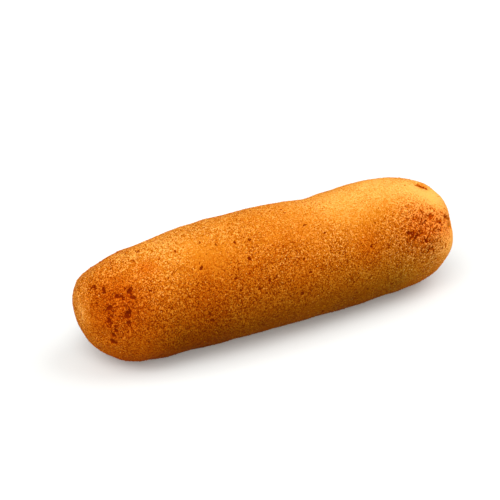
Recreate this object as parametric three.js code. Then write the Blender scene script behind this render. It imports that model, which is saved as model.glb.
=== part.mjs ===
// A whole breaded sausage: a sausage shut inside dough, rolled in fine crumbs and fried, lying on its side.
// Nothing of the inside shows, so it is one solid out to its crust.
//
// Millimetres, +Z up. X runs along the roll, from its tapered end (-X) to its full end (+X), and Y goes back.
// The origin is under the middle of the roll, on the surface that it lies on.
//
// A place on the crust is given by two numbers: how far along the roll it is from the middle, in millimetres,
// and its turn about the roll, in degrees: 0 is the back, 90 the top, 180 the front and 270 the underside.

import * as THREE from 'three';
import { ImprovedNoise } from 'three/addons/math/ImprovedNoise.js';
import { mergeVertices } from 'three/addons/utils/BufferGeometryUtils.js';

// ---- The roll's driving sizes ----

const LENGTH = 117;
const THICKEST_RADIUS = 17.75;

// The radius of the roll at evenly spaced stations from one tip to the other, before its ends are rounded.
const STATION_RADII = [ 14.6, 16.3, THICKEST_RADIUS, 17.7, 17.35, 17.05, 15.5 ];

// Each end rounds off over this length. A higher power gives a blunter end.
// The middle of the tip stands this far above the roll's own middle line, and leans this far to the back.
const TAPERED_END = { length: 18, power: 2.5, rise: 2, lean: 1 };
const FULL_END = { length: 19.5, power: 2.9, rise: 2, lean: - 3 };

const FRONT_BOW = 2.8; // the middle of the roll bows forwards by this much
const SETTLED_DEPTH = 0.7; // how far the soft crust has flattened under the roll's weight

// ---- The crust's relief ----

// Waves in the dough, from slow swells to small crumples: their length and their height.
const DOUGH_WAVES = [
	{ length: 24, height: 0.5 },
	{ length: 10, height: 0.26 },
	{ length: 4.5, height: 0.3 },
];

// Forms that can be told apart: their place, their spread along and round the roll, and their rise.
// A negative rise is a hollow.
const FORMS = [
	{ along: 40, turn: 84, spreadAlong: 8, spreadRound: 12, rise: 0.4 }, // swell before the full end
	{ along: 14, turn: 82, spreadAlong: 7, spreadRound: 11, rise: - 0.4 }, // waist beside it
	{ along: 55, turn: 200, spreadAlong: 5, spreadRound: 7, rise: 0.6 }, // lip where the dough was shut
	{ along: 56, turn: 158, spreadAlong: 2.2, spreadRound: 4.5, rise: - 0.45 }, // notch above the lip
	{ along: 54, turn: 110, spreadAlong: 4, spreadRound: 8, rise: 0.6 }, // shoulder above the notch
	{ along: 50, turn: 101, spreadAlong: 1.6, spreadRound: 4, rise: - 0.7 }, // slit on that shoulder
	{ along: - 48.5, turn: 148, spreadAlong: 1.5, spreadRound: 9, rise: - 0.65 }, // crease round the shoulder
	{ along: - 54, turn: 158, spreadAlong: 1.4, spreadRound: 9, rise: - 0.5 }, // crease at the edge of the tip
	{ along: - 54, turn: 100, spreadAlong: 6, spreadRound: 8, rise: 0.6 }, // fullness high on the tapered end
	{ along: - 24, turn: 122, spreadAlong: 6, spreadRound: 5, rise: 0.35 }, // smooth blister
	{ along: - 20, turn: 300, spreadAlong: 12, spreadRound: 6, rise: - 0.5 }, // hollow low on the back
	{ along: 22, turn: 20, spreadAlong: 10, spreadRound: 8, rise: 0.5 }, // swell on the back
	{ along: - 40, turn: 35, spreadAlong: 7, spreadRound: 7, rise: - 0.45 }, // dimple on the back
];

// Craggy patches, where the crumbs took up more oil and fried hard, and the crags on them.
const CRAGGY_PATCHES = [
	{ along: 41, turn: 150, spreadAlong: 8, spreadRound: 8 },
	{ along: - 51, turn: 150, spreadAlong: 5, spreadRound: 12 },
	{ along: 30, turn: 330, spreadAlong: 9, spreadRound: 8 },
	{ along: - 44, turn: 20, spreadAlong: 6, spreadRound: 8 },
];
const CRAGS = { length: 3.4, height: 1 };

// Single burst bubbles, scattered by a seeded draw and thicker towards the ends, as far as a share of the length.
const BUBBLES = { count: 70, seed: 11, reach: 0.47, smallest: 1.3, largest: 2.1, shallowest: 0.2, deepest: 0.45 };

// ---- How finely the crust is divided ----

const ROWS_ALONG = 72;
const FACES_ROUND = 56;
const OUTLINE_SAMPLES = 600;
const SAME_POINT = 1e-3; // points closer than this are one point

const CRUST_COLOUR = 0xc9822f;
const CRUST_ROUGHNESS = 0.7;

const noise = new ImprovedNoise();
const stationCurve = new THREE.SplineCurve( STATION_RADII.map( ( radius, i ) => new THREE.Vector2( i, radius ) ) );

// The roll's radius before its ends are rounded, at a distance along it from its middle.
function girthRadius( along ) {

	const share = THREE.MathUtils.clamp( along / LENGTH + 0.5, 0, 1 );
	return stationCurve.getPoint( share ).y;

}

// How far into a rounded end a place is: 0 where the end begins and 1 at its tip.
function depthIntoEnd( end, distanceFromTip ) {

	return THREE.MathUtils.clamp( 1 - distanceFromTip / end.length, 0, 1 );

}

// The share of the girth that is left at that depth: a superellipse from 1 down to 0.
function endShare( end, depth ) {

	return Math.pow( 1 - Math.pow( depth, end.power ), 1 / end.power );

}

function outlineRadius( along ) {

	const tapered = endShare( TAPERED_END, depthIntoEnd( TAPERED_END, LENGTH / 2 + along ) );
	const full = endShare( FULL_END, depthIntoEnd( FULL_END, LENGTH / 2 - along ) );
	return girthRadius( along ) * tapered * full;

}

// The middle line of the roll: how far back and how high it lies.
function middleLine( along ) {

	const tapered = depthIntoEnd( TAPERED_END, LENGTH / 2 + along ) ** 2;
	const full = depthIntoEnd( FULL_END, LENGTH / 2 - along ) ** 2;
	const bow = FRONT_BOW * ( 1 - ( 2 * along / LENGTH ) ** 2 );
	return {
		back: TAPERED_END.lean * tapered + FULL_END.lean * full - bow,
		height: girthRadius( along ) - SETTLED_DEPTH + TAPERED_END.rise * tapered + FULL_END.rise * full,
	};

}

// The point on the plain roll, straight and round, at a place on the crust.
function pointOnRoll( { along, turn } ) {

	const radius = outlineRadius( along );
	const angle = THREE.MathUtils.degToRad( turn );
	return new THREE.Vector3( along, radius * Math.cos( angle ), radius * Math.sin( angle ) );

}

// The nearness of a point to the middle of a form or patch: 1 at its middle, fading as a bell curve.
function nearness( point, form ) {

	const apartAlong = ( point.x - form.middle.x ) / form.spreadAlong;
	const apartRound = Math.hypot( point.y - form.middle.y, point.z - form.middle.z ) / form.spreadRound;
	return Math.exp( - 0.5 * ( apartAlong ** 2 + apartRound ** 2 ) );

}

// Bubbles on the two halves in turn. Squaring the draw pushes them out towards the ends.
function drawBubbles() {

	THREE.MathUtils.seededRandom( BUBBLES.seed );
	const draw = ( low, high ) => low + ( high - low ) * THREE.MathUtils.seededRandom();
	const bubbles = [];
	for ( let i = 0; i < BUBBLES.count; i ++ ) {

		const side = i % 2 ? 1 : - 1;
		const along = side * ( 1 - draw( 0, 1 ) ** 2 ) * LENGTH * BUBBLES.reach;
		const turn = draw( 0, 360 );
		const spread = draw( BUBBLES.smallest, BUBBLES.largest );
		const rise = - draw( BUBBLES.shallowest, BUBBLES.deepest );
		bubbles.push( { along, turn, spreadAlong: spread, spreadRound: spread, rise } );

	}

	return bubbles;

}

const placed = ( form ) => ( { ...form, middle: pointOnRoll( form ) } );
const forms = [ ...FORMS, ...drawBubbles() ].map( placed );
const craggyPatches = CRAGGY_PATCHES.map( placed );

// How far the crust stands out of the plain roll at one of the roll's points.
function reliefAt( point ) {

	const wave = ( { length, height } ) => height * noise.noise( point.x / length, point.y / length, point.z / length );
	const sum = ( values ) => values.reduce( ( total, value ) => total + value, 0 );

	const waves = sum( DOUGH_WAVES.map( wave ) );
	const raised = sum( forms.map( ( form ) => form.rise * nearness( point, form ) ) );
	const craggy = Math.min( 1, sum( craggyPatches.map( ( patch ) => nearness( point, patch ) ) ) );
	return waves + raised + craggy * wave( CRAGS );

}

// The plain roll, straight and round, turned about X. Its rows are evenly spaced over its outline.
function turnedRoll() {

	const outline = [];
	for ( let i = 0; i <= OUTLINE_SAMPLES; i ++ ) {

		const along = - LENGTH / 2 * Math.cos( Math.PI * i / OUTLINE_SAMPLES );
		outline.push( new THREE.Vector2( outlineRadius( along ), along ) );

	}

	const rows = new THREE.SplineCurve( outline ).getSpacedPoints( ROWS_ALONG );
	rows[ 0 ].x = 0;
	rows[ ROWS_ALONG ].x = 0;
	return new THREE.LatheGeometry( rows, FACES_ROUND ).rotateZ( - Math.PI / 2 );

}

// One closed skin of shared vertices, without the faces that shrink to a line at the tips.
function closedSkin( geometry ) {

	geometry.deleteAttribute( 'normal' );
	geometry.deleteAttribute( 'uv' );
	const skin = mergeVertices( geometry, SAME_POINT );
	const kept = [];
	for ( let i = 0; i < skin.index.count; i += 3 ) {

		const [ a, b, c ] = [ 0, 1, 2 ].map( ( corner ) => skin.index.getX( i + corner ) );
		if ( a !== b && b !== c && c !== a ) kept.push( a, b, c );

	}

	skin.setIndex( kept );
	skin.computeVertexNormals();
	return skin;

}

// Raises the relief on the plain roll, bends it along its middle line and settles it on the surface.
function shapeCrust( skin ) {

	const position = skin.getAttribute( 'position' );
	const normal = skin.getAttribute( 'normal' );
	const point = new THREE.Vector3();
	const outward = new THREE.Vector3();
	for ( let i = 0; i < position.count; i ++ ) {

		point.fromBufferAttribute( position, i );
		outward.fromBufferAttribute( normal, i );
		const middle = middleLine( point.x );
		point.addScaledVector( outward, reliefAt( point ) );
		position.setXYZ( i, point.x, point.y + middle.back, Math.max( 0, point.z + middle.height ) );

	}

	return skin;

}

// Puts the origin under the middle of the roll.
function centreOnOrigin( geometry ) {

	geometry.computeBoundingBox();
	const { min, max } = geometry.boundingBox;
	geometry.translate( - ( min.x + max.x ) / 2, - ( min.y + max.y ) / 2, - min.z );
	geometry.computeVertexNormals();
	return geometry;

}

function crustedRoll() {

	const material = new THREE.MeshStandardMaterial( {
		color: CRUST_COLOUR,
		roughness: CRUST_ROUGHNESS,
		metalness: 0,
	} );
	const mesh = new THREE.Mesh( centreOnOrigin( shapeCrust( closedSkin( turnedRoll() ) ) ), material );
	mesh.name = 'crusted_roll';
	return mesh;

}

const breadedSausage = new THREE.Group();
breadedSausage.add( crustedRoll() );

export default breadedSausage;
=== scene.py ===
"""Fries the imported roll: a grainy golden crust, loose crumbs that stand in it, and a white surface under it.

Everything is in metres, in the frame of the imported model: X along the roll, Y to the back, Z up.
A place on the crust is written as (along, turn): millimetres from the middle of the roll, and degrees
about it, with 0 at the back, 90 at the top, 180 at the front and 270 underneath.
"""

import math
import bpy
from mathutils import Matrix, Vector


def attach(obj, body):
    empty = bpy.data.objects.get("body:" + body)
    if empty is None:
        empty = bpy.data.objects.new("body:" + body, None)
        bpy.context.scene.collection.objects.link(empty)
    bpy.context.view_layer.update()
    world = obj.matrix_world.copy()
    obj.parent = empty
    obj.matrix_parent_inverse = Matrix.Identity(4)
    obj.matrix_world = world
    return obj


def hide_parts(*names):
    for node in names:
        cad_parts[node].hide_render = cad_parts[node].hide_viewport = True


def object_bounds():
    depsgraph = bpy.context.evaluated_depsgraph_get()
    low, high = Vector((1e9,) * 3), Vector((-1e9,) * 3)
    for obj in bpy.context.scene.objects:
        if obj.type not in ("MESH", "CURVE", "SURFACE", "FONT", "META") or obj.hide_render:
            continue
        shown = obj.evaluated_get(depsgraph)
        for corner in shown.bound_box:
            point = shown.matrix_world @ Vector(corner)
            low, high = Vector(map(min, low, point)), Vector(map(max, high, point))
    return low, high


bl_info = {
    "name": "Crumbed sausage roll",
    "version": (1, 0, 0),
    "blender": (4, 5, 0),
    "location": "View3D > Sidebar > Crumb coat",
    "description": "Fries a crumb coat onto the packed roll and lights it on a white surface",
    "category": "Mesh",
}

import bmesh
import bpy
import numpy as np
from mathutils import Vector, noise
from mathutils.bvhtree import BVHTree
from mathutils.kdtree import KDTree

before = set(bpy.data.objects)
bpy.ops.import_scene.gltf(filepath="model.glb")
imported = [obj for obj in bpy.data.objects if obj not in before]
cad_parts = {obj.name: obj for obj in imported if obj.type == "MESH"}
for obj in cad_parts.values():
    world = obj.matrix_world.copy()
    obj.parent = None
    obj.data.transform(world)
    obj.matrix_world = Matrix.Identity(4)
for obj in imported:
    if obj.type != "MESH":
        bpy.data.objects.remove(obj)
CAD_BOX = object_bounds()

ROLL_NODE = "crusted_roll"
ROLL_BODY = "root"
CRUST_NAME = "fried_crust"

MM = 0.001

# Fields on the crust's points: its three tones (browning with painted shade, ruddiness, and painted shade low
# on its sides), how hollow it is (for the painted shade in hollows), and how thickly crumbs cover it.
BROWNING_AND_SHADE = "browning_and_shade"
RUDDY = "ruddy"
LOW_SHADE = "low_shade"
HOLLOW = "hollow"
COVER = "cover"
TONES = (BROWNING_AND_SHADE, RUDDY, LOW_SHADE)

# Patches of the crust: (along, turn, reach in millimetres, strength). Some browned ones are painted shade and
# some pale ones painted light, as marked.
BROWNED_AND_SHADED_PATCHES = (
    (-50, 122, 6, 0.1),
    (-50, 148, 7, 0.08),
    (-41, 112, 2, 0.1),
    (41, 151, 7, 0.14),
    (47, 166, 6, 0.08),
    (28, 134, 4, 0.06),
    (24.4, 154, 4, 0.07),
    (22, 192, 12, 0.08),
    (-8, 166, 9, 0.05),
    (16, 180, 8, 0.06),
    (-5, 140, 10, 0.04),
    (-2, 106, 13, 0.035),
    (-26, 150, 10, 0.07),
    # Painted shade in the slit and in the notch of the full end: this patch and the next.
    (51, 97, 1.2, 0.35),
    (55.5, 144, 1.5, 0.1),
    (-55, 150, 5, 0.1),
    (-30, 176, 9, 0.05),
    # Painted shade low on the front, beside where the roll meets the surface.
    (-30, 214, 8, 0.1),
    (30, 330, 9, 0.1),
    (-44, 20, 8, 0.14),
    (-5, 15, 10, 0.08),
    (57, 20, 8, 0.1),
)
PALE_AND_LIT_PATCHES = (
    # Partly pale crumb and partly painted light on the tapered tip.
    (-58.5, 150, 2.5, 0.35),
    (-57, 250, 6, 0.16),
    (-52, 195, 7, 0.08),
    (-41, 98, 9, 0.13),
    # Painted light on the full end: this patch and the next two.
    (56, 182, 7, 0.5),
    (53, 122, 7, 0.4),
    (57, 158, 4, 0.2),
    # Painted sheen along the top of the full half: this patch and the next.
    (38, 98, 12, 0.1),
    (20, 99, 9, 0.15),
    (42, 205, 11, 0.17),
    # Painted light reflected up from the surface, low on the front.
    (16, 214, 11, 0.06),
    (-57, 40, 6, 0.2),
    (52, 330, 7, 0.16),
    (10, 35, 8, 0.08),
)
RUDDY_PATCHES = (
    (-50, 134, 6, 0.45),
    (-41, 112, 2, 0.5),
    (-48, 165, 8, 0.35),
    (-58, 130, 7, 0.15),
    (41, 151, 6, 0.75),
    (51, 97, 1.5, 0.5),
    (55.5, 144, 3, 0.4),
    (48, 146, 5, 0.5),
    (52, 154, 3, 0.4),
    (24.4, 154, 4, 0.4),
    (0, 146, 13, 0.25),
    (-28, 176, 9, 0.3),
    (57, 210, 5, 0.4),
    (30, 330, 9, 0.6),
    (-44, 20, 8, 0.6),
    (0, 10, 14, 0.2),
)
SMOOTH_PATCHES = (
    (-24.4, 124, 5, 0.8),
    (-30, 150, 5, 0.4),
    (-51, 150, 7, 0.35),
    (38, 100, 12, 0.85),
    (53, 118, 6, 0.6),
    (15.8, 112, 6, 0.5),
    (-58, 140, 5, 0.5),
    (55.5, 186, 6, 0.8),
    (2, 214, 16, 0.5),
    (-36, 215, 9, 0.5),
    (10, 35, 8, 0.7),
    (-28, 350, 7, 0.6),
    (45, 15, 6, 0.5),
)
CRAGGY_PATCHES = (
    (41, 150, 6, 0.9),
    (48, 150, 4, 0.8),
    (44, 168, 5, 0.4),
    (55, 151, 2.5, 0.9),
    (30, 330, 8, 0.9),
    (-44, 20, 7, 0.9),
)

# Creases and cracks: (half width and depth in millimetres, share that crumbs bridge, places passed through).
CREASES = (
    (0.45, 0.35, 1.0, ((-46.5, 122), (-47.6, 136), (-49.2, 154), (-49.8, 172))),
    (0.4, 0.2, 1.0, ((-52.6, 134), (-53.6, 150), (-54.0, 168), (-53.3, 200))),
    (0.36, 0.9, 0.1, ((49.6, 93), (51.1, 96.5), (51.9, 100))),
    (0.36, 1.0, 0.1, ((53.2, 143), (55.2, 145), (56.6, 147))),
    (0.45, 1.1, 0.1, ((54, 156), (55.2, 157), (56.4, 159))),
    (0.25, 0.2, 0.8, ((-28.3, 182), (-23.1, 189), (-17.2, 193))),
    (0.3, 0.25, 0.9, ((18, 5), (24, 12), (29, 8))),
    (0.35, 0.35, 1.0, ((-50, 330), (-48, 350), (-49, 12))),
)

# Burst bubbles that can be told apart: (along, turn, radius in millimetres).
DEEP_PITS = (
    (-54.9, 109, 0.39),
    (-53.3, 119, 0.39),
    (-51, 132, 0.39),
    (-49.8, 134, 0.37),
    (-53.4, 144, 0.43),
    (-54, 164, 0.43),
    (-52.8, 176, 0.43),
    (-53.4, 184, 0.43),
    (-53.4, 197, 0.47),
    (-47.6, 129, 0.41),
    (-47.2, 138, 0.37),
    (-49.1, 154, 0.43),
    (-49.6, 166, 0.43),
    (-27.7, 132, 0.37),
    (-13.7, 136, 0.37),
    (-12.9, 165, 0.37),
    (0.2, 181, 0.37),
    (2.4, 149, 0.37),
    (3.5, 162, 0.37),
    (9, 214, 0.33),
    (23.1, 199, 0.37),
    (24.4, 154, 0.37),
    (38.3, 153, 0.57),
    (39.9, 158, 0.47),
    (43.5, 164, 0.47),
    (47, 140, 0.57),
    (49.5, 146, 0.47),
    (51.7, 177, 0.38),
)


# ---- The roll that the crust follows ----

HALF_SLICE = 2 * MM  # half the thickness of the slice that a place's middle is measured on
SAME_POINT = 0.001 * MM  # points closer than this are one point
DIVISIONS = 2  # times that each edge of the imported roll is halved


class Roll:
    """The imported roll's surface, and places on it."""

    def __init__(self, mesh):
        self.points = vertex_array(mesh, "co")
        self.tree = BVHTree.FromPolygons(
            [vertex.co.copy() for vertex in mesh.vertices],
            [tuple(face.vertices) for face in mesh.polygons],
        )

    def middle(self, along):
        """The middle of the slice through the roll at a distance along it."""
        slice_points = self.points[np.abs(self.points[:, 0] - along) < HALF_SLICE]
        low, high = slice_points.min(0), slice_points.max(0)
        return Vector((along, (low[1] + high[1]) / 2, (low[2] + high[2]) / 2))

    def place(self, along_mm, turn_degrees):
        """The point of the surface at a place."""
        turn = math.radians(turn_degrees)
        outward = Vector((0, math.cos(turn), math.sin(turn)))
        point, _, _, _ = self.tree.ray_cast(self.middle(along_mm * MM), outward)
        if point is None:
            raise RuntimeError(f"the roll has no surface at {along_mm} mm, {turn_degrees} degrees")
        return np.array(point)


def vertex_array(mesh, what):
    """The vertices' co or normal as rows of three numbers."""
    flat = np.empty(len(mesh.vertices) * 3)
    mesh.vertices.foreach_get(what, flat)
    return flat.reshape(-1, 3)


def bare_crust_mesh():
    """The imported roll's mesh, joined up and divided finely enough for crumb-sized relief."""
    shape = bmesh.new()
    shape.from_mesh(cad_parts[ROLL_NODE].data)
    bmesh.ops.remove_doubles(shape, verts=shape.verts, dist=SAME_POINT)
    coarse = bpy.data.meshes.new("coarse_crust")
    shape.to_mesh(coarse)
    shape.free()
    carrier = bpy.data.objects.new("coarse_crust", coarse)
    bpy.context.scene.collection.objects.link(carrier)
    divide = carrier.modifiers.new("Divide", "SUBSURF")
    divide.levels = DIVISIONS
    depsgraph = bpy.context.evaluated_depsgraph_get()
    fine = bpy.data.meshes.new_from_object(carrier.evaluated_get(depsgraph))
    bpy.data.objects.remove(carrier)
    bpy.data.meshes.remove(coarse)
    fine.name = CRUST_NAME
    fine.materials.clear()
    return fine


# ---- Fields over the crust ----


def bell(distance, reach):
    """1 at no distance, fading as a bell curve."""
    return np.exp(-0.5 * (distance / reach) ** 2)


def patch_field(points, roll, patches):
    """The summed strength of patches at each point."""
    total = np.zeros(len(points))
    for along, turn, reach, strength in patches:
        distance = np.linalg.norm(points - roll.place(along, turn), axis=1)
        total += strength * bell(distance, reach * MM)
    return total


def layer_shift(layer):
    """A move through the noise, so that each layer has a pattern of its own."""
    return Vector((layer, 2.3 * layer, 3.7 * layer))


def lumps(points, size, layer):
    """Smooth noise over the points, from about -1 to 1, with lumps of the given size."""
    shift = layer_shift(layer)
    return np.array([noise.noise(Vector(point) / size + shift) for point in points])


DOME_STEEPNESS = 1.6  # how quickly a packed grain rises from the gaps round it


def packed_grains(points, size, layer):
    """Round grains of the given size: 1 on top of each and 0 between, and a tone from -1 to 1 for each."""
    shift = layer_shift(layer)
    domes = np.empty(len(points))
    tones = np.empty(len(points))
    for i, point in enumerate(points):
        distances, middles = noise.voronoi(Vector(point) / size + shift)
        domes[i] = distances[1] - distances[0]
        tones[i] = noise.cell(middles[0])
    return np.sqrt(np.clip(DOME_STEEPNESS * domes, 0, 1)), tones


def distance_to_chain(points, chain):
    """The distance from each point to the nearest stretch of a chain of points."""
    nearest = np.full(len(points), np.inf)
    for start, end in zip(chain, chain[1:]):
        step = end - start
        share = np.clip((points - start) @ step / (step @ step), 0, 1)
        nearest = np.minimum(nearest, np.linalg.norm(points - start - share[:, None] * step, axis=1))
    return nearest


# How far crumbs bridge the creases: in general, how much that varies, and its limits. Where it is under 0,
# the creases are deeper.
BRIDGING = 0.4
BRIDGING_CONTRAST = 1.8
BRIDGING_LIMITS = (-0.4, 0.9)
BRIDGE_SIZE = 1.8 * MM
WANDER = 0.5 * MM  # how far a crease strays to its sides
WANDER_SIZE = 3 * MM  # of the bends that it makes


def crease_field(points, roll):
    """How deep the creases go at each point. Noise bends them and says where crumbs bridge them."""
    crumbs = BRIDGING - BRIDGING_CONTRAST * lumps(points, BRIDGE_SIZE, layer=5)
    crumbs = np.clip(crumbs, *BRIDGING_LIMITS)
    wander = WANDER * lumps(points, WANDER_SIZE, layer=6)
    depth = np.zeros(len(points))
    for half_width, deepest, bridged, places in CREASES:
        chain = [roll.place(*place) for place in places]
        distance = np.abs(distance_to_chain(points, chain) + wander)
        depth = np.maximum(depth, deepest * MM * bell(distance, half_width * MM) * (1 - bridged * crumbs))
    return depth


# How thickly the scattered pits lie: in general, and more or fewer of them in patches.
EVEN_PITS = 0.2
MORE_PITS_ON_CRAGS = 1.2
FEWER_PITS_ON_SMOOTH = 0.3
LEAST_PITS = 0.12
SCATTERED_PITS = (0.18, 0.36)  # their smallest and largest radius, in millimetres

NEIGHBOURS = 2  # smaller pits that have burst close by each one of the deep pits
NEIGHBOUR_SPREAD = 0.8 * MM
NEIGHBOUR_RADIUS = 0.8  # as a share of the deep pit's radius

# A pit's form, as shares of its radius.
PIT_DEPTH = 1.1
PIT_HALF_WIDTH = 0.8
PIT_DRAWN_OUT = 0.5
PIT_REACH = 4  # past this it has faded out


def draw_pits(points, craggy, smooth, roll, settings, generator):
    """The spot and radius of every burst bubble. The scattered ones keep to the grainy and craggy parts."""
    weights = EVEN_PITS + MORE_PITS_ON_CRAGS * craggy - FEWER_PITS_ON_SMOOTH * smooth
    weights = np.clip(weights, LEAST_PITS, None)
    spots = points[generator.choice(len(points), settings.pit_count, p=weights / weights.sum())]
    radii = generator.uniform(*SCATTERED_PITS, settings.pit_count) * MM
    deep_spots = np.array([roll.place(along, turn) for along, turn, _ in DEEP_PITS])
    deep_radii = np.array([radius * MM for _, _, radius in DEEP_PITS])
    beside = np.repeat(deep_spots, NEIGHBOURS, axis=0)
    beside += NEIGHBOUR_SPREAD * generator.normal(size=beside.shape)
    beside_radii = NEIGHBOUR_RADIUS * np.repeat(deep_radii, NEIGHBOURS)
    return np.vstack([spots, deep_spots, beside]), np.concatenate([radii, deep_radii, beside_radii])


def pit_field(points, craggy, smooth, roll, settings):
    """How deep the burst bubbles go at each point. Each is drawn out into a short slot."""
    generator = np.random.default_rng(settings.pit_seed)
    spots, radii = draw_pits(points, craggy, smooth, roll, settings, generator)
    depth = np.zeros(len(points))
    for spot, radius in zip(spots, radii):
        reach = generator.normal(size=3) * PIT_DRAWN_OUT * radius
        near = np.flatnonzero(np.abs(points - spot).max(1) < PIT_REACH * radius)
        distance = distance_to_chain(points[near], (spot - reach, spot + reach))
        depth[near] = np.maximum(depth[near], PIT_DEPTH * radius * bell(distance, PIT_HALF_WIDTH * radius))
    return depth


# Browning and painted shade from the top down: at the top, how much more at the bottom, and more again low on
# the sides. The darkening down the sides is partly browning and partly painted shade.
TOP_BROWNING = 0.21
SIDE_BROWNING_AND_SHADE = 0.55
SIDE_CURVE = 0.7  # under 1, so that most of it comes high on the sides
LOW_BROWNING_AND_SHADE = 0.3
LOW_FROM = 0.55  # the depth where that sets in, as a share of the whole
LOW_OVER = 0.4  # and the share over which it grows
PAINTED_LIGHT_FULL_END = 0.06  # painted light and shade: how much paler the top is at the full end, and darker at the tapered end

# Browning that comes and goes over long and over short stretches of the crust.
LONG_MOTTLE = 0.06
LONG_MOTTLE_SIZE = 17 * MM
SHORT_MOTTLE = 0.02
SHORT_MOTTLE_SIZE = 6 * MM


def browning_and_shade_field(points, roll):
    """How far the crust has browned at each point, with painted shade and painted light in it: 0 is pale honey
    and 1 is dark brown.
    """
    half_length = CAD_BOX[1].x
    height = points[:, 2] / CAD_BOX[1].z
    depth = np.clip(1 - height, 0, 1)
    low = np.clip(depth - LOW_FROM, 0, LOW_OVER)
    # Darker down the sides and underneath: partly browning, partly painted shade.
    browning_and_shade = TOP_BROWNING + SIDE_BROWNING_AND_SHADE * depth**SIDE_CURVE + LOW_BROWNING_AND_SHADE * low
    browning_and_shade -= PAINTED_LIGHT_FULL_END * height**2 * points[:, 0] / half_length
    long_mottle = LONG_MOTTLE * lumps(points, LONG_MOTTLE_SIZE, layer=1)
    browning_and_shade += long_mottle + SHORT_MOTTLE * lumps(points, SHORT_MOTTLE_SIZE, layer=2)
    browning_and_shade += patch_field(points, roll, BROWNED_AND_SHADED_PATCHES)
    return browning_and_shade - patch_field(points, roll, PALE_AND_LIT_PATCHES)


# The band of painted shade low on the sides, as shares of the roll's height: below the first it is full, and
# it fades over the second.
LOW_SHADE_HEIGHT = 0.22
LOW_SHADE_FADE = 0.25
# How far towards an end the painted shade is gone, and over what stretch before that it fades.
LOW_SHADE_END = 0.9
LOW_SHADE_END_FADE = 0.3


def low_shade_field(points):
    """How much painted shade darkens the crust at each point: most in a band low on its sides, and not at its
    tips.
    """
    height = points[:, 2] / CAD_BOX[1].z
    towards_end = np.abs(points[:, 0]) / CAD_BOX[1].x
    along = np.clip((LOW_SHADE_END - towards_end) / LOW_SHADE_END_FADE, 0, 1)
    return bell(np.clip(height - LOW_SHADE_HEIGHT, 0, None), LOW_SHADE_FADE) * along


# How thickly crumbs lie, as shares: in general, and more or less of them in patches, on top and underneath.
EVEN_COVER = 1.05
COVER_UNEVENNESS = 0.3
COVER_PATCH_SIZE = 9 * MM
MORE_ON_CRAGS = 0.5
FEWER_ON_SMOOTH = 0.55
FEWER_ON_TOP = 0.4
TOP_STRIP = 0.12  # how far down that reaches, as a share of the roll's height
FEWER_UNDERNEATH = 0.5
LOW_STRIP = (0.1, 0.22)  # where that is strongest and how far it reaches, as shares of the height
LEAST_COVER = 0.25
MOST_COVER = 2


def cover_field(points, craggy, smooth):
    """How thickly the crumbs lie at each point. They are thinnest along the top and underneath."""
    height = points[:, 2] / CAD_BOX[1].z
    top = bell(height - 1, TOP_STRIP)
    low = bell(height - LOW_STRIP[0], LOW_STRIP[1])
    cover = EVEN_COVER + COVER_UNEVENNESS * lumps(points, COVER_PATCH_SIZE, layer=3)
    cover = cover + MORE_ON_CRAGS * craggy - FEWER_ON_SMOOTH * smooth
    cover -= FEWER_ON_TOP * top + FEWER_UNDERNEATH * low
    return np.clip(cover, LEAST_COVER, MOST_COVER)


# ---- The crust ----

CRUMPLE_HEIGHT = 0.03 * MM
CRUMPLE_SIZE = 3.2 * MM
# How much painted light pales the crags' tops, and how much painted shade darkens their hollows.
LIT_CRAG_TOPS = 0.25
SHADED_CRAG_HOLLOWS = 0.7
OPEN_DEPTH = 0.35 * MM  # a pit or crease this deep is fully open
GAP_HOLLOWNESS = 0.2  # of the gaps between packed grains, where it sets their painted shade
BARE_PITS = 0.9  # share of the crumbs that an open pit lacks


def raise_relief(mesh, roll, settings):
    """Raises grains, crags, pits and creases on the bare crust, and gives its points their fields."""
    roll_points = vertex_array(mesh, "co")
    normals = vertex_array(mesh, "normal")

    points = roll_points.copy()
    craggy = np.clip(patch_field(points, roll, CRAGGY_PATCHES), 0, 1)
    smooth = np.clip(patch_field(points, roll, SMOOTH_PATCHES), 0, 1)
    cover = cover_field(points, craggy, smooth)
    grains, tones = packed_grains(points, settings.grain_size, layer=7)
    crags = craggy * lumps(points, settings.crag_size, layer=8)
    pits = pit_field(points, craggy, smooth, roll, settings)
    creases = crease_field(points, roll)
    browning_and_shade = browning_and_shade_field(points, roll) + settings.grain_contrast * cover * tones
    # Painted light on the crags' tops and painted shade in their hollows.
    browning_and_shade -= np.where(crags > 0, LIT_CRAG_TOPS, SHADED_CRAG_HOLLOWS) * crags

    raised = settings.grain_height * cover * (grains - 0.5)
    raised += settings.crag_height * crags + CRUMPLE_HEIGHT * lumps(points, CRUMPLE_SIZE, layer=4)
    raised -= pits + creases
    points += normals * raised[:, None]
    points[:, 2] = np.maximum(points[:, 2], 0)
    mesh.vertices.foreach_set("co", points.ravel())

    opened = np.clip((pits + creases) / OPEN_DEPTH, 0, 1)
    # How hollow each point is, which sets the painted shade in gaps, pits and creases.
    hollow = GAP_HOLLOWNESS * (1 - grains) * cover + opened - crags
    set_field(mesh, BROWNING_AND_SHADE, browning_and_shade)
    set_field(mesh, RUDDY, np.clip(patch_field(roll_points, roll, RUDDY_PATCHES), 0, 1))
    set_field(mesh, LOW_SHADE, low_shade_field(roll_points))
    set_field(mesh, HOLLOW, np.clip(hollow, 0, 1))
    set_field(mesh, COVER, cover * (1 - BARE_PITS * opened))
    mesh.shade_smooth()
    mesh.update()


def make_crust(settings):
    """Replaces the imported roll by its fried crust."""
    mesh = bare_crust_mesh()
    raise_relief(mesh, Roll(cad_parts[ROLL_NODE].data), settings)
    crust = bpy.data.objects.new(CRUST_NAME, mesh)
    bpy.context.scene.collection.objects.link(crust)
    mesh.materials.append(crust_material(settings))
    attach(crust, ROLL_BODY)
    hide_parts(ROLL_NODE)
    return crust


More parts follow.
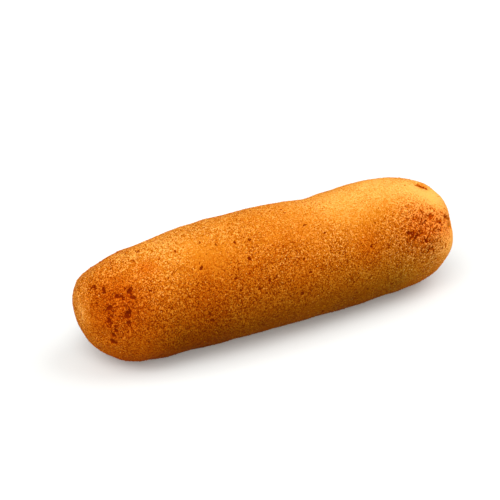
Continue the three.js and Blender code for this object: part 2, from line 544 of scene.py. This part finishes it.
def set_field(mesh, name, values):
    """Gives a mesh's points a field of numbers."""
    field = mesh.attributes.new(name, "FLOAT", "POINT")
    field.data.foreach_set("value", np.asarray(values, dtype=np.float32))


def field_of(mesh, name):
    """A field's number at each point of a mesh."""
    values = np.empty(len(mesh.vertices), dtype=np.float32)
    mesh.attributes[name].data.foreach_get("value", values)
    return values


# ---- The loose crumbs ----

# Each kind: name, about how many, smallest and largest size in millimetres, how much browner than the crust,
# how much that varies, how much thicker it lies on top than underneath (from -1 to 1), and whether each crumb
# has twenty faces or only eight.
CRUMB_KINDS = (
    ("crumbs_pale", 7000, 0.24, 0.46, -0.3, 0.1, -0.5, True),
    ("crumbs_golden", 8600, 0.26, 0.46, -0.06, 0.08, 0.0, True),
    ("crumbs_toasted", 13000, 0.24, 0.44, 0.42, 0.12, 0.2, False),
    ("crumbs_fine", 24000, 0.22, 0.36, 0.04, 0.18, 0.0, False),
)

TRIES = 4  # spots tried for every crumb wanted
CLOSENESS = 0.72  # how near two crumbs of a kind may lie, as a share of their even spacing
LEAST_WEIGHT = 0.02  # where crumbs lie thinnest

# A crumb's form, as shares of its size: how far each corner reaches, the least and most stretch along its
# three axes, and how far its middle stands out of the crust.
CORNER_REACH = (0.72, 1.25)
STRETCHES = ((0.95, 0.75, 0.4), (1.25, 1.05, 0.65))
RISE = (-0.14, 0.06)
TILT = 0.35  # how unevenly the crumbs lie
CLEAR_OF_SURFACE = 0.2 * MM  # no crumb is placed lower than this
LOWEST_CORNER = 0.01 * MM


def twenty_faced():
    """The points and faces of an icosahedron of unit radius."""
    shape = bmesh.new()
    bmesh.ops.create_icosphere(shape, subdivisions=1, radius=1)
    points = np.array([vertex.co[:] for vertex in shape.verts])
    faces = np.array([[vertex.index for vertex in face.verts] for face in shape.faces])
    shape.free()
    return points, faces


def eight_faced():
    """The points and faces of an octahedron of unit radius."""
    points = np.vstack([np.eye(3), -np.eye(3)])
    faces = []
    for x in (0, 3):
        for y in (1, 4):
            for z in (2, 5):
                flips = (x > 0) + (y > 1) + (z > 2)
                faces.append((x, y, z) if flips % 2 == 0 else (x, z, y))
    return points, np.array(faces)


def well_apart(points, spacings):
    """Which points are left when each, taken in turn, clears the later ones within its own spacing."""
    tree = KDTree(len(points))
    for i, point in enumerate(points):
        tree.insert(point, i)
    tree.balance()
    left = np.ones(len(points), dtype=bool)
    for i, point in enumerate(points):
        if left[i]:
            near = [other for _, other, _ in tree.find_range(point, spacings[i]) if other > i]
            left[near] = False
    return left


class CrustSampler:
    """Draws seeded random spots on the crust's mesh, closer together where the weights are larger."""

    def __init__(self, mesh):
        mesh.calc_loop_triangles()
        corners = np.empty(len(mesh.loop_triangles) * 3, dtype=np.int32)
        mesh.loop_triangles.foreach_get("vertices", corners)
        self.corners = corners.reshape(-1, 3)
        self.points = vertex_array(mesh, "co")
        self.normals = vertex_array(mesh, "normal")
        self.tones = np.column_stack([field_of(mesh, name) for name in TONES])
        a, b, c = (self.points[self.corners[:, i]] for i in range(3))
        self.areas = np.linalg.norm(np.cross(b - a, c - a), axis=1) / 2

    def draw(self, count, weights, generator):
        """The point, outward direction and tones of the crust at each of about count spots."""
        face_weights = self.areas * weights[self.corners].mean(1)
        total = face_weights.sum()
        faces = generator.choice(len(face_weights), TRIES * count, p=face_weights / total)
        chosen = self.corners[faces]
        shares = generator.dirichlet((1, 1, 1), len(faces))
        points = np.einsum("ij,ijk->ik", shares, self.points[chosen])
        spacings = CLOSENESS * np.sqrt(total / count * self.areas[faces] / face_weights[faces])
        left = well_apart(points, spacings)
        chosen, shares = chosen[left], shares[left]
        outward = np.einsum("ij,ijk->ik", shares, self.normals[chosen])
        outward /= np.linalg.norm(outward, axis=1, keepdims=True)
        return points[left], outward, np.einsum("ij,ijk->ik", shares, self.tones[chosen])


def tilted_axes(outward, generator):
    """Three axes at right angles for each crumb, the third tilted a little from outward."""
    lean = outward + TILT * generator.normal(size=outward.shape)
    lean /= np.linalg.norm(lean, axis=1, keepdims=True)
    first = np.cross(lean, generator.normal(size=outward.shape))
    first /= np.linalg.norm(first, axis=1, keepdims=True)
    return first, np.cross(lean, first), lean


def crumb_points(base, spots, outward, sizes, generator):
    """The corners of every crumb: uneven, flattened, and sunk to about its middle in the crust."""
    count = len(spots)
    uneven = generator.uniform(*CORNER_REACH, (count, len(base), 1))
    stretch = generator.uniform(*STRETCHES, (count, 3))
    local = base[None] * uneven * stretch[:, None] * sizes[:, None, None] / 2
    axes = tilted_axes(outward, generator)
    spread = sum(local[:, :, i, None] * axes[i][:, None] for i in range(3))
    risen = sizes * generator.uniform(*RISE, count)
    placed = (spots + outward * risen[:, None])[:, None] + spread
    placed[:, :, 2] = np.maximum(placed[:, :, 2], LOWEST_CORNER)
    return placed


def make_crumbs(kind, sampler, cover, seed, colours):
    """One kind of crumb, scattered over the crust as a single joined mesh."""
    name, count, smallest, largest, browner, variation, higher, many_faces = kind
    generator = np.random.default_rng(seed)
    base, faces = twenty_faced() if many_faces else eight_faced()
    weights = cover * (1 + higher * (2 * sampler.points[:, 2] / CAD_BOX[1].z - 1))
    spots, outward, tones = sampler.draw(count, weights.clip(LEAST_WEIGHT), generator)
    clear = spots[:, 2] > CLEAR_OF_SURFACE
    spots, outward, tones = spots[clear], outward[clear], tones[clear]
    # Squaring the draw makes the small ones the commonest.
    sizes = MM * (smallest + (largest - smallest) * generator.random(len(spots)) ** 2)
    corners = crumb_points(base, spots, outward, sizes, generator)
    tones[:, 0] += browner + variation * generator.normal(size=len(spots))

    mesh = bpy.data.meshes.new(name)
    numbering = faces[None] + (np.arange(len(spots)) * len(base))[:, None, None]
    mesh.from_pydata(corners.reshape(-1, 3), [], numbering.reshape(-1, 3).tolist())
    for tone, values in zip(TONES, tones.T):
        set_field(mesh, tone, np.repeat(np.clip(values, 0, 1), len(base)))
    mesh.shade_smooth()
    mesh.update()
    crumbs = bpy.data.objects.new(name, mesh)
    bpy.context.scene.collection.objects.link(crumbs)
    mesh.materials.append(crumb_material(name, colours))
    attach(crumbs, ROLL_BODY)
    return crumbs


# ---- Materials ----


def new_material(name):
    """A material with its node tree and its surface shader."""
    material = bpy.data.materials.new(name)
    material.use_nodes = True
    tree = material.node_tree
    surface = tree.nodes["Principled BSDF"]
    return material, tree, surface


def add_node(tree, kind, **settings):
    """A node of a kind, with its settings."""
    node = tree.nodes.new(kind)
    for name, value in settings.items():
        setattr(node, name, value)
    return node


def texture_node(tree, kind, place, size, **settings):
    """A texture over a place, with features of the given size."""
    texture = add_node(tree, kind, **settings)
    texture.inputs["Scale"].default_value = 1 / size
    tree.links.new(place, texture.inputs["Vector"])
    return texture


def math_node(tree, operation, first, second, clamp=False):
    """A sum, difference or product of two sockets or numbers, held between 0 and 1 on request."""
    node = add_node(tree, "ShaderNodeMath", operation=operation, use_clamp=clamp)
    for socket, value in zip(node.inputs, (first, second)):
        if isinstance(value, (int, float)):
            socket.default_value = value
        else:
            tree.links.new(value, socket)
    return node.outputs[0]


def scaled_from(tree, value, start, scale, clamp=False):
    """How far a value is past a start, times a scale."""
    return math_node(tree, "MULTIPLY", math_node(tree, "SUBTRACT", value, start), scale, clamp)


def field_node(tree, name):
    """The output that reads a field of the crust's or the crumbs' points."""
    return add_node(tree, "ShaderNodeAttribute", attribute_name=name).outputs["Fac"]


def tinted(tree, colour, tint, share):
    """A colour multiplied by a tint, as far as a field says."""
    mix = add_node(tree, "ShaderNodeMix", data_type="RGBA", blend_type="MULTIPLY")
    tree.links.new(share, mix.inputs["Factor"])
    tree.links.new(colour, mix.inputs["A"])
    mix.inputs["B"].default_value = (*tint, 1)
    return mix.outputs["Result"]


# The browning, with painted shade, at which each colour between pale and toasted is reached.
GOLDEN_AT = 0.3
AMBER_AT = 0.6
BROWN_AT = 0.85


def fried_colour(tree, browning_and_shade, colours):
    """The colour for a browning, with painted shade, from 0 to 1, redder where the crust is ruddy and darker
    where painted shade lies low on its sides.
    """
    ramp = add_node(tree, "ShaderNodeValToRGB")
    stops = ramp.color_ramp.elements
    stops[0].position, stops[0].color = 0.0, (*colours.pale, 1)
    stops[1].position, stops[1].color = 1.0, (*colours.toasted, 1)
    stops.new(GOLDEN_AT).color = (*colours.golden, 1)
    stops.new(AMBER_AT).color = (*colours.amber, 1)
    stops.new(BROWN_AT).color = (*colours.brown, 1)
    tree.links.new(browning_and_shade, ramp.inputs["Fac"])
    ruddy = tinted(tree, ramp.outputs["Color"], colours.ruddy_tint, field_node(tree, RUDDY))
    return tinted(tree, ruddy, colours.low_shade_tint, field_node(tree, LOW_SHADE))


# The fine grains' tones: how far apart they are, and the share of the draw that is paler than the crust.
FINE_GRAIN_CONTRAST = 0.5
FINE_GRAIN_PALER = 0.8
# The painted shade in the gaps between fine grains: their width as a share of a grain, how dark they are, and
# the dust noise under which they are filled and how sharply.
FINE_GAP_WIDTH = 0.2
FINE_GAP_SHADE = 6
FILLED_DUST = 0.38
FILLED_EDGE = 5
# The painted shade in pits and hollows: how soon it is full, the dust noise under which it shrinks and how
# sharply, and how dark it is.
PIT_FILL = 4.7
PIT_OPEN_DUST = 0.82
PIT_RAGGEDNESS = 6
PIT_SHADE = 0.6


def fine_grain_browning_and_shade(tree, shade, gap, dust):
    """How much browner the fine grains make the crust, each with its own tone, with painted shade in the gaps
    between.
    """
    uneven = scaled_from(tree, shade, FINE_GRAIN_PALER, FINE_GRAIN_CONTRAST)
    open_gap = math_node(tree, "SUBTRACT", FINE_GAP_WIDTH, gap, clamp=True)
    unfilled = scaled_from(tree, dust, FILLED_DUST, FILLED_EDGE, clamp=True)
    gap_shade = math_node(tree, "MULTIPLY", math_node(tree, "MULTIPLY", open_gap, unfilled), FINE_GAP_SHADE)
    return math_node(tree, "MULTIPLY", math_node(tree, "ADD", uneven, gap_shade), field_node(tree, COVER))


def pit_shade(tree, dust):
    """How much painted shade darkens the pits and hollows. Dust makes their edges ragged."""
    filled = math_node(tree, "MULTIPLY", field_node(tree, HOLLOW), PIT_FILL)
    ragged = scaled_from(tree, dust, PIT_OPEN_DUST, PIT_RAGGEDNESS)
    return math_node(tree, "MULTIPLY", math_node(tree, "ADD", filled, ragged, clamp=True), PIT_SHADE)


DUST_SIZE = 0.48 * MM
DUST_DETAIL = 2
GRIT_SIZE = 0.15 * MM
GRIT_CONTRAST = 0.2
NOISE_MIDDLE = 0.5

# The least roughness of each, and how much more noise adds to it at most.
CRUST_ROUGHNESS = 0.42
CRUMB_ROUGHNESS = 0.4
ADDED_ROUGHNESS = 0.3

# The bump of the fine grain: its strength, its depth as a share of the grain, and how much of it is dust.
BUMP_STRENGTH = 0.7
BUMP_DEPTH = 0.4
DUST_BUMP = 0.4


def crust_material(settings):
    """Fried crumb crust: colour by browning and painted shade, with painted shade in the hollows, and grains
    finer than the mesh.
    """
    material, tree, surface = new_material("fried crumb crust")
    place = add_node(tree, "ShaderNodeTexCoord").outputs["Object"]
    size = settings.fine_grain_size
    grain = texture_node(tree, "ShaderNodeTexVoronoi", place, size, feature="F1")
    shade = add_node(tree, "ShaderNodeSeparateColor")
    tree.links.new(grain.outputs["Color"], shade.inputs["Color"])
    edge = texture_node(tree, "ShaderNodeTexVoronoi", place, size, feature="DISTANCE_TO_EDGE")
    gap = edge.outputs["Distance"]
    dusting = texture_node(tree, "ShaderNodeTexNoise", place, DUST_SIZE)
    dusting.inputs["Detail"].default_value = DUST_DETAIL
    dust = dusting.outputs["Fac"]

    grainy = fine_grain_browning_and_shade(tree, shade.outputs["Red"], gap, dust)
    speckled = math_node(tree, "ADD", field_node(tree, BROWNING_AND_SHADE), grainy)
    browning_and_shade = math_node(tree, "ADD", speckled, pit_shade(tree, dust))
    colours = bpy.context.scene.crumb_coat_colours
    tree.links.new(fried_colour(tree, browning_and_shade, colours), surface.inputs["Base Color"])
    roughen(tree, surface, CRUST_ROUGHNESS, dust)

    bump = add_node(tree, "ShaderNodeBump")
    bump.inputs["Strength"].default_value = BUMP_STRENGTH
    bump.inputs["Distance"].default_value = size * BUMP_DEPTH
    height = math_node(tree, "ADD", gap, math_node(tree, "MULTIPLY", dust, DUST_BUMP))
    tree.links.new(height, bump.inputs["Height"])
    tree.links.new(bump.outputs["Normal"], surface.inputs["Normal"])
    soften(surface)
    return material


def crumb_material(name, colours):
    """A fried crumb: colour by its own browning and by the painted shade where it lies, with a rough, slightly
    oily face.
    """
    material, tree, surface = new_material(name.replace("_", " "))
    place = add_node(tree, "ShaderNodeTexCoord").outputs["Object"]
    grit = texture_node(tree, "ShaderNodeTexNoise", place, GRIT_SIZE).outputs["Fac"]
    mottled = scaled_from(tree, grit, NOISE_MIDDLE, GRIT_CONTRAST)
    browning_and_shade = math_node(tree, "ADD", field_node(tree, BROWNING_AND_SHADE), mottled)
    tree.links.new(fried_colour(tree, browning_and_shade, colours), surface.inputs["Base Color"])
    roughen(tree, surface, CRUMB_ROUGHNESS, grit)
    soften(surface)
    return material


def roughen(tree, surface, least, uneven):
    """Roughness from the least upwards, uneven by a noise from 0 to 1."""
    added = math_node(tree, "MULTIPLY", uneven, ADDED_ROUGHNESS)
    tree.links.new(math_node(tree, "ADD", added, least), surface.inputs["Roughness"])


def soften(surface):
    """The little light that fried crumb lets through, and its low gloss."""
    surface.inputs["Specular IOR Level"].default_value = 0.003
    surface.inputs["Subsurface Weight"].default_value = 0.15
    surface.inputs["Subsurface Radius"].default_value = (1.0, 0.3, 0.06)
    surface.inputs["Subsurface Scale"].default_value = 0.9 * MM


# ---- The stage ----

FLOOR_SIZE = 6  # metres
FLOOR_DEPTH = 0.02 * MM  # how far the surface lies under the roll, so that the two don't coincide
FLOOR_GLOW_COLOUR = (1, 0.95, 0.88)
BACKDROP_RADIUS = 2.8  # metres, so that it meets the surface within its edges
NEAREST_SEEN = 0.01  # metres from the camera

# Each soft light: name, azimuth and elevation in degrees, and its share of the strength.
SOFT_LIGHTS = (
    ("soft_top", 0, 80, 0.27),
    ("soft_front", -40, 50, 0.76),
    ("soft_right", 80, 50, 0.5),
    ("soft_left", -100, 50, 0.25),
)


def make_floor(settings):
    """A wide, plain pale surface just under the roll, lit a little from below like a light table."""
    bpy.ops.mesh.primitive_plane_add(size=FLOOR_SIZE, location=(0, 0, -FLOOR_DEPTH))
    floor = bpy.context.object
    floor.name = "white_surface"
    material, _, surface = new_material("matt white surface")
    surface.inputs["Base Color"].default_value = (*settings.floor_colour, 1)
    surface.inputs["Roughness"].default_value = 0.9
    surface.inputs["Specular IOR Level"].default_value = 0.1
    surface.inputs["Emission Color"].default_value = (*FLOOR_GLOW_COLOUR, 1)
    surface.inputs["Emission Strength"].default_value = settings.floor_glow
    floor.data.materials.append(material)


def make_backdrop():
    """A wide white dome that only the camera sees, so that a low view has no horizon."""
    bpy.ops.mesh.primitive_uv_sphere_add(radius=BACKDROP_RADIUS)
    dome = bpy.context.object
    dome.name = "white_backdrop"
    dome.visible_diffuse = False
    dome.visible_glossy = False
    dome.visible_transmission = False
    dome.visible_volume_scatter = False
    dome.visible_shadow = False
    material, _, surface = new_material("bright white backdrop")
    surface.inputs["Base Color"].default_value = (0, 0, 0, 1)
    surface.inputs["Specular IOR Level"].default_value = 0
    surface.inputs["Emission Color"].default_value = (1, 1, 1, 1)
    surface.inputs["Emission Strength"].default_value = 1
    dome.data.materials.append(material)


def make_lights(settings):
    """Broad soft lights above, before and beside the roll, and an even pale surround."""
    for name, azimuth, elevation, share in SOFT_LIGHTS:
        lamp = bpy.data.lights.new(name, "SUN")
        lamp.energy = settings.light_strength * share
        lamp.angle = settings.light_spread
        lamp.color = settings.light_colour
        light = bpy.data.objects.new(name, lamp)
        towards = direction(math.radians(azimuth), math.radians(elevation))
        light.rotation_mode = "QUATERNION"
        light.rotation_quaternion = towards.to_track_quat("Z", "Y")
        bpy.context.scene.collection.objects.link(light)

    world = bpy.data.worlds.new("pale_surround")
    world.use_nodes = True
    background = world.node_tree.nodes["Background"]
    background.inputs["Color"].default_value = (1, 1, 1, 1)
    background.inputs["Strength"].default_value = settings.surround_strength
    bpy.context.scene.world = world


def direction(azimuth, elevation):
    """The unit vector towards a viewer or light. Azimuth 0 is in front, and it grows towards +X."""
    flat = math.cos(elevation)
    return Vector((math.sin(azimuth) * flat, -math.cos(azimuth) * flat, math.sin(elevation)))


def make_camera(settings):
    """A long lens, looking down on the roll from the front and its tapered end."""
    centre = (CAD_BOX[0] + CAD_BOX[1]) / 2
    back = direction(settings.camera_azimuth, settings.camera_elevation)
    right = Vector((0, 0, 1)).cross(back).normalized()
    up = back.cross(right)
    location = centre + back * settings.camera_distance
    aim = centre + right * settings.aim_right + up * settings.aim_up
    data = bpy.data.cameras.new("camera")
    data.lens = settings.camera_lens
    data.clip_start = NEAREST_SEEN
    camera = bpy.data.objects.new("camera", data)
    camera.location = location
    camera.rotation_mode = "QUATERNION"
    camera.rotation_quaternion = (location - aim).to_track_quat("Z", "Y")
    bpy.context.scene.collection.objects.link(camera)
    bpy.context.scene.camera = camera


# ---- What a user can change ----


class CrumbCoatColours(bpy.types.PropertyGroup):
    pale: bpy.props.FloatVectorProperty(
        name="Pale",
        description="Crumb that has hardly browned",
        subtype="COLOR",
        default=(0.86, 0.42, 0.095),
        min=0,
        max=1,
    )
    golden: bpy.props.FloatVectorProperty(
        name="Golden",
        description="Crust along the top of the roll",
        subtype="COLOR",
        default=(0.6, 0.195, 0.011),
        min=0,
        max=1,
    )
    amber: bpy.props.FloatVectorProperty(
        name="Amber",
        description="Crust round the sides of the roll",
        subtype="COLOR",
        default=(0.44, 0.1, 0.0016),
        min=0,
        max=1,
    )
    brown: bpy.props.FloatVectorProperty(
        name="Brown",
        description="Crust that has fried hard",
        subtype="COLOR",
        default=(0.31, 0.047, 0.0004),
        min=0,
        max=1,
    )
    # The pits' painted shade runs down to this colour.
    toasted: bpy.props.FloatVectorProperty(
        name="Toasted",
        description="The darkest crumbs, and the bottoms of pits",
        subtype="COLOR",
        default=(0.17, 0.018, 0.0002),
        min=0,
        max=1,
    )
    ruddy_tint: bpy.props.FloatVectorProperty(
        name="Ruddy tint",
        description="Multiplies the colour where the crust has fried redder",
        subtype="COLOR",
        default=(1, 0.66, 0.45),
        min=0,
        max=1,
    )
    # Painted shade low on the sides: this tint darkens the colour there.
    low_shade_tint: bpy.props.FloatVectorProperty(
        name="Low shade tint",
        description="Multiplies the colour low on the sides, where the crust is duller",
        subtype="COLOR",
        default=(0.6, 0.84, 0.95),
        min=0,
        max=1,
    )


class CrustSettings(bpy.types.PropertyGroup):
    grain_size: bpy.props.FloatProperty(
        name="Grain size",
        description="Size of the crumbs packed in the crust",
        default=0.75 * MM,
        unit="LENGTH",
    )
    grain_height: bpy.props.FloatProperty(
        name="Grain height",
        description="Height of the packed crumbs above the gaps between them",
        default=0.07 * MM,
        unit="LENGTH",
    )
    grain_contrast: bpy.props.FloatProperty(
        name="Grain contrast",
        description="How much browner or paler one packed crumb is than the next",
        default=0.04,
        min=0,
    )
    fine_grain_size: bpy.props.FloatProperty(
        name="Fine grain size",
        description="Size of the fine crumbs between the larger ones",
        default=0.48 * MM,
        unit="LENGTH",
    )
    crag_size: bpy.props.FloatProperty(
        name="Crag size",
        description="Size of the crags on the hard-fried patches",
        default=0.62 * MM,
        unit="LENGTH",
    )
    crag_height: bpy.props.FloatProperty(
        name="Crag height",
        description="Height of those crags",
        default=0.45 * MM,
        unit="LENGTH",
    )
    pit_count: bpy.props.IntProperty(
        name="Pits",
        description="Number of small burst bubbles scattered over the crust",
        default=380,
        min=0,
    )
    pit_seed: bpy.props.IntProperty(
        name="Pit seed",
        description="Seed of the draw that scatters and shapes the pits",
        default=5,
    )


class CrumbSettings(bpy.types.PropertyGroup):
    seed: bpy.props.IntProperty(
        name="Seed",
        description="Seed of the draw that scatters the crumbs",
        default=21,
    )
    cover: bpy.props.FloatProperty(
        name="Cover",
        description="Share of the full number of crumbs that is scattered",
        subtype="FACTOR",
        default=1,
        min=0,
        max=1,
    )


class StageSettings(bpy.types.PropertyGroup):
    camera_azimuth: bpy.props.FloatProperty(
        name="Camera azimuth",
        description="Where the camera stands round the roll, from the front towards +X",
        default=math.radians(-29.2),
        unit="ROTATION",
    )
    camera_elevation: bpy.props.FloatProperty(
        name="Camera elevation",
        description="How far above the horizon the camera stands",
        default=math.radians(30),
        unit="ROTATION",
    )
    camera_distance: bpy.props.FloatProperty(
        name="Camera distance",
        description="From the middle of the roll to the camera",
        default=0.428,
        unit="LENGTH",
    )
    camera_lens: bpy.props.FloatProperty(
        name="Focal length",
        description="Focal length of the camera",
        default=106.8,
        unit="CAMERA",
    )
    aim_right: bpy.props.FloatProperty(
        name="Aim right",
        description="How far right of the middle of the roll the camera aims",
        default=-5.91 * MM,
        unit="LENGTH",
    )
    aim_up: bpy.props.FloatProperty(
        name="Aim up",
        description="How far above the middle of the roll the camera aims",
        default=4.0 * MM,
        unit="LENGTH",
    )
    light_strength: bpy.props.FloatProperty(
        name="Light strength",
        description="Strength of a soft light whose share is 1, in watts per square metre",
        default=3.14,
        min=0,
    )
    light_spread: bpy.props.FloatProperty(
        name="Light spread",
        description="Angle that each soft light fills in the sky",
        default=math.radians(50),
        unit="ROTATION",
    )
    light_colour: bpy.props.FloatVectorProperty(
        name="Light colour",
        description="Colour of the soft lights",
        subtype="COLOR",
        default=(1, 0.99, 0.97),
        min=0,
        max=1,
    )
    surround_strength: bpy.props.FloatProperty(
        name="Surround strength",
        description="Brightness of the pale surround",
        default=0.25,
        min=0,
    )
    floor_glow: bpy.props.FloatProperty(
        name="Surface glow",
        description="Light that comes through the surface from below",
        default=0.2,
        min=0,
    )
    floor_colour: bpy.props.FloatVectorProperty(
        name="Surface colour",
        description="Colour of the surface that the roll lies on",
        subtype="COLOR",
        default=(0.56, 0.58, 0.585),
        min=0,
        max=1,
    )


# ---- Operators, panel and registration ----


class CRUMB_COAT_OT_fry_crust(bpy.types.Operator):
    """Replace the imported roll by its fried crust"""

    bl_idname = "crumb_coat.fry_crust"
    bl_label = "Fry the crust"
    bl_options = {"REGISTER", "UNDO"}

    def execute(self, context):
        make_crust(context.scene.crumb_coat_crust)
        return {"FINISHED"}


class CRUMB_COAT_OT_scatter_crumbs(bpy.types.Operator):
    """Scatter loose crumbs over the fried crust"""

    bl_idname = "crumb_coat.scatter_crumbs"
    bl_label = "Scatter the crumbs"
    bl_options = {"REGISTER", "UNDO"}

    def execute(self, context):
        crust = bpy.data.objects.get(CRUST_NAME)
        if crust is None:
            raise RuntimeError("the crust has to be fried before crumbs are scattered on it")
        scatter_crumbs(crust, context.scene.crumb_coat_crumbs)
        return {"FINISHED"}


class CRUMB_COAT_OT_set_stage(bpy.types.Operator):
    """Add the white surface, its backdrop, the soft light and the camera"""

    bl_idname = "crumb_coat.set_stage"
    bl_label = "Set the stage"
    bl_options = {"REGISTER", "UNDO"}

    def execute(self, context):
        settings = context.scene.crumb_coat_stage
        make_floor(settings)
        make_backdrop()
        make_lights(settings)
        make_camera(settings)
        context.scene.view_settings.view_transform = "Standard"
        return {"FINISHED"}


def scatter_crumbs(crust, settings):
    """Every kind of crumb, as thick on each spot as the crust's cover says."""
    sampler = CrustSampler(crust.data)
    cover = field_of(crust.data, COVER)
    colours = bpy.context.scene.crumb_coat_colours
    for number, (name, count, *rest) in enumerate(CRUMB_KINDS):
        kind = (name, round(count * settings.cover), *rest)
        make_crumbs(kind, sampler, cover, settings.seed + number, colours)


class CRUMB_COAT_PT_panel(bpy.types.Panel):
    bl_idname = "CRUMB_COAT_PT_panel"
    bl_label = "Crumb coat"
    bl_space_type = "VIEW_3D"
    bl_region_type = "UI"
    bl_category = "Crumb coat"

    def draw(self, context):
        for group_name, label, operator in STEPS:
            box = self.layout.box()
            box.label(text=label)
            group = getattr(context.scene, group_name)
            for name in group.__annotations__:
                box.prop(group, name)
            if operator:
                box.operator(operator)


STEPS = (
    ("crumb_coat_colours", "Colours", None),
    ("crumb_coat_crust", "Crust", "crumb_coat.fry_crust"),
    ("crumb_coat_crumbs", "Crumbs", "crumb_coat.scatter_crumbs"),
    ("crumb_coat_stage", "Stage", "crumb_coat.set_stage"),
)

SETTINGS = {
    "crumb_coat_colours": CrumbCoatColours,
    "crumb_coat_crust": CrustSettings,
    "crumb_coat_crumbs": CrumbSettings,
    "crumb_coat_stage": StageSettings,
}

CLASSES = (
    *SETTINGS.values(),
    CRUMB_COAT_OT_fry_crust,
    CRUMB_COAT_OT_scatter_crumbs,
    CRUMB_COAT_OT_set_stage,
    CRUMB_COAT_PT_panel,
)


def register():
    for cls in CLASSES:
        bpy.utils.register_class(cls)
    for name, group in SETTINGS.items():
        setattr(bpy.types.Scene, name, bpy.props.PointerProperty(type=group))


def unregister():
    for name in SETTINGS:
        delattr(bpy.types.Scene, name)
    for cls in reversed(CLASSES):
        bpy.utils.unregister_class(cls)


def main():
    register()
    bpy.ops.crumb_coat.fry_crust()
    bpy.ops.crumb_coat.scatter_crumbs()
    bpy.ops.crumb_coat.set_stage()


if __name__ == "__main__":
    main()
